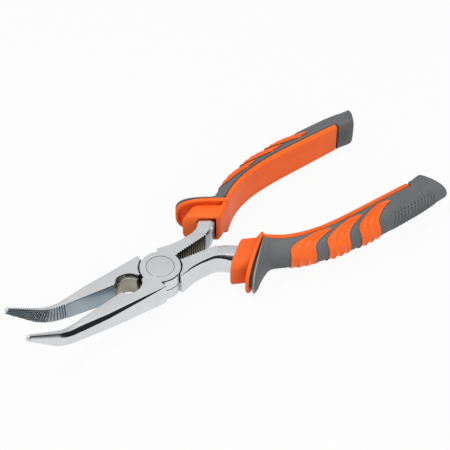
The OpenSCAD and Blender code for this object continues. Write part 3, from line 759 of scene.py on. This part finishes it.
def collar_shape():
    def ring(k, shrink=0.0, spread=0.0):
        a = COLLAR_LEAN * abs(k) + COLLAR_INSET + shrink
        b = COLLAR_LEAN * abs(k) + COLLAR_W - shrink + spread
        return [guard_point(u, k, z) for u, z in collar_outline(a, b, COLLAR_H / 2 - shrink + spread)]
    r = COLLAR_FRONT_ROUND
    front = r - COLLAR_LEN
    rings = [ring(k, 0, spread) for k, spread in COLLAR_FOOT]
    rings += [ring(k) for k in np.linspace(COLLAR_WALL, front, 6)]
    for q in np.radians((20, 40, 60, 80, 90)):
        rings.append(ring(front - r * math.sin(q), r - r * math.cos(q)))
    return skin(rings)


# The mouth from outside inwards: distance behind the collar's front, and how far the ring grows
MOUTH_STEPS = ((-1.2, 1.3), (-0.05, 0.15), (0.12, 0.04), (0.3, 0.0), (4.0, 0.0))
MOUTH_CORNER = 0.5


def mouth_shape():
    """The collar's mouth round the shank, with its edge taken off."""
    def ring(k, grow):
        a, b = -SHANK_W / 2 - SOCKET_GAP - grow, SHANK_W / 2 + MOUTH_GAP + grow
        h = HALF_T + SOCKET_GAP + grow
        side = [(a, 0.0), (a, h - MOUTH_CORNER), (a + MOUTH_CORNER, h)]
        side += ground_corner(b, h, SHANK_EDGE, SHANK_EDGE * EDGE_SLOPE + SOCKET_GAP, EASE * SHANK_EDGE)
        side += [(b, 0.0)]
        return [(*at_collar(u, k), z) for u, z in side + [(u, -z) for u, z in reversed(side[1:-1])]]
    return skin([ring(k, grow) for k, grow in MOUTH_STEPS])


def cover_grip(x, q):
    """Depth of the fine ribs on the butt: cross ribs broken into dots, fading at the edges of their field."""
    field = (smooth(share(x, *RIB_FRONT)) * (1 - smooth(share(x, *RIB_BACK)))
             * (1 - smooth(share(q, *RIB_TOP))) * smooth(share(q, *RIB_FOOT)))
    if field <= 0:
        return 0.0
    rib = math.cos(2 * math.pi * (x - RIB_LEAN * q) / BUTT_RIB_PITCH)
    dot = math.cos(2 * math.pi * q / BUTT_DOT_PITCH)
    return BUTT_RIB * field * (RIB_SHARE * rib + DOT_SHARE * dot)


def cover_ring(x, shrink=0.0, push=0.0):
    """Section of the soft cover: beside the panel it starts in the groove, behind it it is whole."""
    st = Station(x)
    s = smooth(share(x, PANEL_END + 0.1, PANEL_END + 1.0))
    dip = 0.3 * (1 - smooth(share(x, PANEL_END + 2.0, PANEL_END + 5.0)))
    h = st.h - shrink
    u_end = mix(STRIP_W, dip + 0.6 * shrink, s)
    z_end = mix(h - GROOVE, h - RIM, s)
    u0 = mix(STRIP_W + LIP, RIM + 0.3 + 0.6 * shrink, s)
    q0 = st.angle_at(u0)
    u0, z0 = st.side(q0, shrink)
    lip = []
    for k in (0.0, 0.2, 0.4, 0.6, 0.8):
        cu, cz = mix(u_end, u0, 0.18), mix(z_end, z0, 0.92)
        lip.append(((1 - k) ** 2 * u_end + 2 * k * (1 - k) * cu + k * k * u0,
                    (1 - k) ** 2 * z_end + 2 * k * (1 - k) * cz + k * k * z0))
    flat = [(u_end, 0.0), (u_end, mix(0, z_end, 0.5)), (u_end, z_end - 0.3)] + lip
    for q in np.linspace(q0, -q0, 73):
        u, z = st.side(q, shrink)
        n = st.out(q) * cover_grip(x, q)
        flat.append((u + n[0], z + n[1]))
    flat += [(u, -z) for u, z in reversed(lip)] + [(u_end, 0.3 - z_end), (u_end, mix(0, -z_end, 0.5))]
    return [st.at(u, z, push) for u, z in flat]


# Where the cover has a section: close together at the lip, over the ribs and where the panel ends
cover_start = float(guard_tip[0])
RIB_STATION = 0.19
cover_stations = sorted(
    list(cover_start + 2.2 + 2.5 * np.linspace(0, 1, 12)) + list(np.linspace(cover_start + 5, NECK_END, 40))
    + list(np.linspace(NECK_END, 94, 38)[1:]) + list(np.arange(94.2, 122.4, RIB_STATION))
    + [122.8, 123.6, 124.4, 125.2, BUTT_X] + [PANEL_END + d for d in (-0.05, 0.1, 0.3, 0.5, 0.7, 0.85, 1.0)])


def cover_shape():
    rings = [cover_ring(x) for x in cover_stations]
    for run, inset in COVER_LIP:
        rings.insert(0, cover_ring(cover_start + run, inset))
    first = rings[0]
    rings.insert(0, [(p[0] - 0.5 * guard_back[0], p[1] - 0.5 * guard_back[1], p[2]) for p in first])
    for inset, push in BUTT_DOME:
        rings.append(cover_ring(BUTT_X, inset, push))
    return skin(rings)


# The cover's finishes: its own soft grey, a painted highlight on the lip's crest, and painted shade in the
# rib grooves
SOFT, PAINTED_HIGHLIGHT, GROOVE_SHADE = range(3)
COVER_POINTS = len(cover_ring(BODY_X))


def cover_finish(face):
    """The crest of the front lip takes a painted highlight, and the grooves between the ribs take painted
    shade.
    """
    row = face.index // COVER_POINTS
    if HIGHLIGHT_ROWS[0] <= row <= HIGHLIGHT_ROWS[1]:
        return PAINTED_HIGHLIGHT
    at = row - len(COVER_LIP) - 1
    if 0 <= at < len(cover_stations) - 1:
        x = mix(cover_stations[at], cover_stations[at + 1], 0.5)
        q = math.degrees(math.asin(max(-1.0, min(1.0, face.center.z / half_height(x)))))
        if cover_grip(x, q) < RIB_SHADE_DEPTH:
            return GROOVE_SHADE
    return SOFT


# Shares of the fin's width where its section has a point, how far its edges fall, and points below
fin_cols = [0.0, 0.0, 0.015, 0.04] + list(np.linspace(0.07, 0.93, 37)) + [0.96, 0.985, 1.0, 1.0]
FIN_EDGE = (-1.4, -0.35, -0.12, -0.02)
FIN_UNDER = (0.8, 0.5, 0.2)
# How sharply its front and rear edges sweep, how far its ends fall and lie out, and how the flutes fade
FRONT_BEND, REAR_BEND = 2.9, 3.2
FIN_END_FALL, FIN_END_OUT = -1.3, 0.5
FLUTES, FLUTE_FADE = 3, 0.45


def fin_finish(face):
    """The walls of the fin, where it is let into the cover, take painted shade."""
    return 1 if face.index % (len(fin_cols) + len(FIN_UNDER)) in (0, len(fin_cols) - 2) else 0


def fin_shape(i):
    """A fin on the cover: ridges at its edges and between its flutes, swept back to a point at each end."""
    x0 = FIN_START + i * FIN_PITCH
    edge = dict(enumerate(FIN_EDGE))
    edge.update({len(fin_cols) - 1 - k: fall for k, fall in enumerate(FIN_EDGE)})
    rows = []
    qs = list(FIN_TOP * np.sin(np.radians(np.linspace(-90, 90, 97))))
    for n, q in enumerate([-FIN_TOP - FIN_END_OUT] + qs + [FIN_TOP + FIN_END_OUT]):
        s = share(abs(q), FIN_SHOULDER, FIN_TOP)
        front = x0 + FIN_CREST * s ** FRONT_BEND
        rear = (x0 + mix(FIN_W, FIN_SWEEP, share(abs(q), FIN_HEEL, FIN_HOOK) ** REAR_BEND)
                - FIN_TIP_ROUND * share(abs(q), FIN_HOOK, FIN_TOP) ** 3)
        end = FIN_END_FALL if n in (0, len(qs) + 1) else 0.0
        row = []
        for k, c in enumerate(fin_cols):
            x = mix(front, rear, c)
            st = Station(x)
            flute = abs(math.sin(FLUTES * math.pi * c)) * (1 - FLUTE_FADE * s ** 3)
            lift = FIN_PROUD - FIN_FLUTE * flute + edge.get(k, 0.0)
            lift = max(-FIN_DEPTH, lift + end)
            u, z = st.side(q)
            d = st.out(q) * lift
            row.append(st.at(u + d[0], z + d[1]))
        under = []
        for c in FIN_UNDER:
            st = Station(mix(front, rear, c))
            u, z = st.side(q)
            d = st.out(q) * -FIN_DEPTH
            under.append(st.at(u + d[0], z + d[1]))
        rows.append(row + under)
    return skin(rows)


def grip(side, near, body):
    core = solid(flange_shape(), "core")
    worked(core, panel_shape(), "UNION")
    worked(core, collar_shape(), "UNION")
    worked(core, mouth_shape(), "DIFFERENCE")
    hand_over(core, side + "_core", near, body, [side + "_grip_core"], [hard_orange],
              crease=40)
    hand_over(solid(cover_shape(), "cover"), side + "_cover", near, body, [side + "_grip_cover"],
              [soft_grey, painted_highlight_grey, groove_shade_grey], cover_finish, crease=50)
    for i, place in enumerate(("front", "middle", "rear")):
        hand_over(solid(fin_shape(i), "fin"), side + "_fin_" + place + "_piece", near, body,
                  [side + "_fin_" + place], [hard_orange, seam_shade_orange], fin_finish,
                  crease=60)


# Finishes

class Tone:
    """One value in a finish. Arithmetic on it adds Math nodes."""
    def __init__(self, finish, socket):
        self.finish = finish
        self.socket = socket

    def _math(self, operation, *values):
        return self.finish.add("ShaderNodeMath", {"operation": operation}, dict(enumerate(values)))["Value"]

    def __add__(self, other):
        return self._math("ADD", self, other)

    def __sub__(self, other):
        return self._math("SUBTRACT", self, other)

    def __rsub__(self, other):
        return self._math("SUBTRACT", other, self)

    def __mul__(self, other):
        return self._math("MULTIPLY", self, other)

    __radd__ = __add__
    __rmul__ = __mul__

    def between(self, low, high):
        """0 below low, 1 above high, smooth between."""
        return self.finish.add("ShaderNodeMapRange", {"interpolation_type": "SMOOTHSTEP"},
                               {"Value": self, "From Min": low, "From Max": high})["Result"]

    def most(self, other):
        return self._math("MAXIMUM", self, other)


class Made:
    """A node just added, whose outputs are asked for by name or number."""
    def __init__(self, finish, node):
        self.finish = finish
        self.node = node

    def __getitem__(self, name):
        return Tone(self.finish, self.node.outputs[name])


class Finish:
    """A node tree that is filled by add()."""
    def __init__(self, tree):
        self.tree = tree
        tree.nodes.clear()

    def add(self, kind, settings=None, sockets=None):
        node = self.tree.nodes.new(kind)
        for name, value in (settings or {}).items():
            setattr(node, name, value)
        for name, value in (sockets or {}).items():
            if isinstance(value, Tone):
                self.tree.links.new(value.socket, node.inputs[name])
            else:
                node.inputs[name].default_value = value
        return Made(self, node)

    def place(self, scale):
        """The object's own coordinates, stretched."""
        where = self.add("ShaderNodeTexCoord")["Object"]
        return self.add("ShaderNodeVectorMath", {"operation": "MULTIPLY"}, {0: where, 1: scale})["Vector"]

    def noise(self, scale, detail=3.0, roughness=0.55):
        return self.add("ShaderNodeTexNoise", {}, {"Vector": self.place(scale), "Scale": 1.0,
                                                   "Detail": detail, "Roughness": roughness})["Fac"]

    def colour(self, share_of, first, second):
        """A blend of two colours. The node's colour sockets share names with others, so they go by number."""
        blend = self.add("ShaderNodeMix", {"data_type": "RGBA"},
                         {"Factor": share_of, 6: (*first, 1.0), 7: (*second, 1.0)})
        return blend[2]

    def surface(self, **sockets):
        shader = self.add("ShaderNodeBsdfPrincipled", {}, sockets)
        self.add("ShaderNodeOutputMaterial", {}, {"Surface": shader["BSDF"]})


def new_finish(name):
    material = bpy.data.materials.new(name)
    material.use_nodes = True
    return material, Finish(material.node_tree)


def steel(name, light, dark, roughness, lines, line_depth):
    """Plated steel: polishing lines, handling smudges and faint unevenness."""
    material, f = new_finish(name)
    brush = f.noise(lines, 4.0, 0.6)
    smudge = f.noise((90, 90, 90), 3.0).between(0.4, 0.7)
    speck = f.noise((900, 900, 900), 2.0).between(0.62, 0.75)
    bump = f.add("ShaderNodeBump", {}, {"Strength": line_depth, "Distance": 0.00002, "Height": brush})
    f.surface(**{"Base Color": f.colour(smudge * 0.7 + speck * 0.3, light, dark), "Metallic": 1.0,
                 "Roughness": roughness + brush * 0.05 + smudge * 0.04, "Normal": bump["Normal"]})
    return material


polished_steel = steel("polished_steel", (0.68, 0.695, 0.71), (0.62, 0.635, 0.655), 0.10,
                       (60, 2400, 2400), 0.05)
rivet_face = steel("rivet_face", (0.66, 0.68, 0.695), (0.60, 0.62, 0.64), 0.14, (1500, 1500, 60), 0.06)
# Ground steel on the jaw's teeth; on the shank's inner side it is a painted darker reflection
ground_steel_and_reflection = steel("ground_steel_and_reflection", (0.33, 0.385, 0.42), (0.26, 0.31, 0.35), 0.22, (3200, 60, 60), 0.2)
bare_steel = steel("bare_steel", (0.33, 0.31, 0.25), (0.17, 0.152, 0.118), 0.30, (2000, 2000, 120), 0.4)
# Painted shade: near-black steel for the hole's mouth, the gaps, seams and tooth valleys
painted_shade_steel = steel("painted_shade_steel", (0.045, 0.042, 0.038), (0.02, 0.019, 0.018), 0.35, (900, 900, 900), 0.2)


def moulded(name, light, dark, roughness, grain, depth, specular):
    """Moulded plastic: a fine spark-eroded grain, slow flow marks and a few rubbed spots."""
    material, f = new_finish(name)
    fine = f.noise((grain, grain, grain), 2.0, 0.6)
    flow = f.noise((55, 140, 140), 3.0).between(0.3, 0.75)
    rub = f.noise((260, 260, 260), 3.0).between(0.55, 0.8)
    bump = f.add("ShaderNodeBump", {}, {"Strength": depth, "Distance": 0.00005, "Height": fine})
    f.surface(**{"Base Color": f.colour(flow * 0.75 + fine * 0.25, light, dark),
                 "Roughness": roughness + fine * 0.1 - rub * 0.08, "Normal": bump["Normal"],
                 "Specular IOR Level": specular})
    return material


hard_orange = moulded("hard_orange", (0.89, 0.145, 0.022), (0.82, 0.12, 0.016), 0.40, 3200, 0.10, 0.2)
# Painted shade on the fins' walls, in the seam with the cover
seam_shade_orange = moulded("seam_shade_orange", (0.14, 0.04, 0.014), (0.10, 0.026, 0.009), 0.6, 3200, 0.10, 0.2)
soft_grey = moulded("soft_grey", (0.128, 0.135, 0.138), (0.10, 0.107, 0.11), 0.62, 4200, 0.35, 0.35)
# Painted highlight on the crest of the cover's front lip
painted_highlight_grey = moulded("painted_highlight_grey", (0.30, 0.315, 0.32), (0.24, 0.25, 0.255), 0.55, 4200, 0.35, 0.35)
# Painted shade in the grooves between the butt's ribs
groove_shade_grey = moulded("groove_shade_grey", (0.08, 0.084, 0.087), (0.06, 0.063, 0.066), 0.7, 4200, 0.35, 0.25)

lever("over_lever_steel", 1, False, "over_half", "over_lever", 0.0)
lever("under_lever_steel", -1, True, "under_half", "under_lever", RIVET_CLEAR)
rivet()
grip("far", False, "over_half")
grip("near", True, "under_half")

# Floor, light and camera

FLOOR_Z = cad_box[0][2] - 0.0002
FLOOR_HALF = 3.0
FLOOR_GREY = 0.6
FLOOR_GLOW = 0.94
# The room as the steel mirrors it: walls, added ceiling, depth of the dark band, and light on matte surfaces
WALL, CEILING, BAND, MATTE_LIGHT = 0.72, 0.36, 0.97, 0.5


def floor():
    corners = [(x * FLOOR_HALF, y * FLOOR_HALF, FLOOR_Z) for x, y in ((-1, -1), (1, -1), (1, 1), (-1, 1))]
    mesh = bpy.data.meshes.new("floor")
    mesh.from_pydata(corners, [], [(0, 1, 2, 3)])
    obj = bpy.data.objects.new("floor", mesh)
    bpy.context.scene.collection.objects.link(obj)
    material, f = new_finish("floor_white")
    ray = f.add("ShaderNodeLightPath")
    seen = ray["Is Camera Ray"].most(ray["Is Glossy Ray"]).most(ray["Is Transmission Ray"])
    matte = f.add("ShaderNodeBsdfDiffuse", {}, {"Color": (FLOOR_GREY, FLOOR_GREY, FLOOR_GREY, 1.0)})["BSDF"]
    glow = f.add("ShaderNodeEmission", {}, {"Color": (1.0, 1.0, 1.0, 1.0), "Strength": 1.0})["Emission"]
    both = f.add("ShaderNodeMixShader", {}, {0: seen * FLOOR_GLOW, 1: matte, 2: glow})["Shader"]
    f.add("ShaderNodeOutputMaterial", {}, {"Surface": both})
    mesh.materials.append(material)


def studio():
    """A pale room with a bright ceiling and a dark band low down on the side of the near handle."""
    world = bpy.data.worlds.new("studio")
    bpy.context.scene.world = world
    world.use_nodes = True
    f = Finish(world.node_tree)
    way = f.add("ShaderNodeTexCoord")["Generated"]
    part = f.add("ShaderNodeSeparateXYZ", {}, {"Vector": way})
    up, across = part["Z"], part["Y"]
    ray = f.add("ShaderNodeLightPath")
    near_side = (0 - across).between(0.05, 0.5)
    band = up.between(-0.05, 0.08) * (1 - up.between(0.42, 0.66)) * near_side
    ceiling = up.between(0.55, 0.95)
    room = WALL + ceiling * CEILING
    mirrored = room * (1 - band * BAND)
    light = ray["Is Glossy Ray"] * mirrored + (1 - ray["Is Glossy Ray"]) * MATTE_LIGHT
    white = ray["Is Camera Ray"].most(ray["Is Transmission Ray"])
    strength = white + (1 - white) * light
    back = f.add("ShaderNodeBackground", {}, {"Color": (1.0, 1.0, 1.0, 1.0), "Strength": strength})
    f.add("ShaderNodeOutputWorld", {}, {"Surface": back["Background"]})


LIT_POINT = (0.04, 0.0, 0.0)


def lamp(name, place, target, size, power, mirrored):
    data = bpy.data.lights.new(name, "AREA")
    data.shape = "DISK"
    data.size = size
    data.energy = power
    obj = bpy.data.objects.new(name, data)
    obj.location = place
    obj.rotation_euler = (Vector(target) - Vector(place)).to_track_quat("-Z", "Y").to_euler()
    obj.visible_glossy = mirrored
    bpy.context.scene.collection.objects.link(obj)


AIM = Vector((0.038156, 0.007945, HALF_T * MM))
AZIMUTH, ELEVATION, DISTANCE = math.radians(-36.147), math.radians(45.171), 0.507669
LENS, SENSOR = 96.0, 36.0


def camera():
    back = Vector((math.sin(AZIMUTH) * math.cos(ELEVATION), -math.cos(AZIMUTH) * math.cos(ELEVATION),
                   math.sin(ELEVATION)))
    data = bpy.data.cameras.new("camera")
    data.sensor_width = SENSOR
    data.lens = LENS
    data.clip_start = 0.01
    obj = bpy.data.objects.new("camera", data)
    obj.location = AIM + back * DISTANCE
    obj.rotation_euler = (-back).to_track_quat("-Z", "Y").to_euler()
    bpy.context.scene.collection.objects.link(obj)
    bpy.context.scene.camera = obj


floor()
studio()
lamp("key", (-0.3, 0.1, 0.75), LIT_POINT, size=0.35, power=4.0, mirrored=True)
lamp("fill", (0.15, -0.6, 0.35), LIT_POINT, size=0.5, power=2.1, mirrored=False)
camera()
bpy.context.scene.view_settings.view_transform = "Standard"
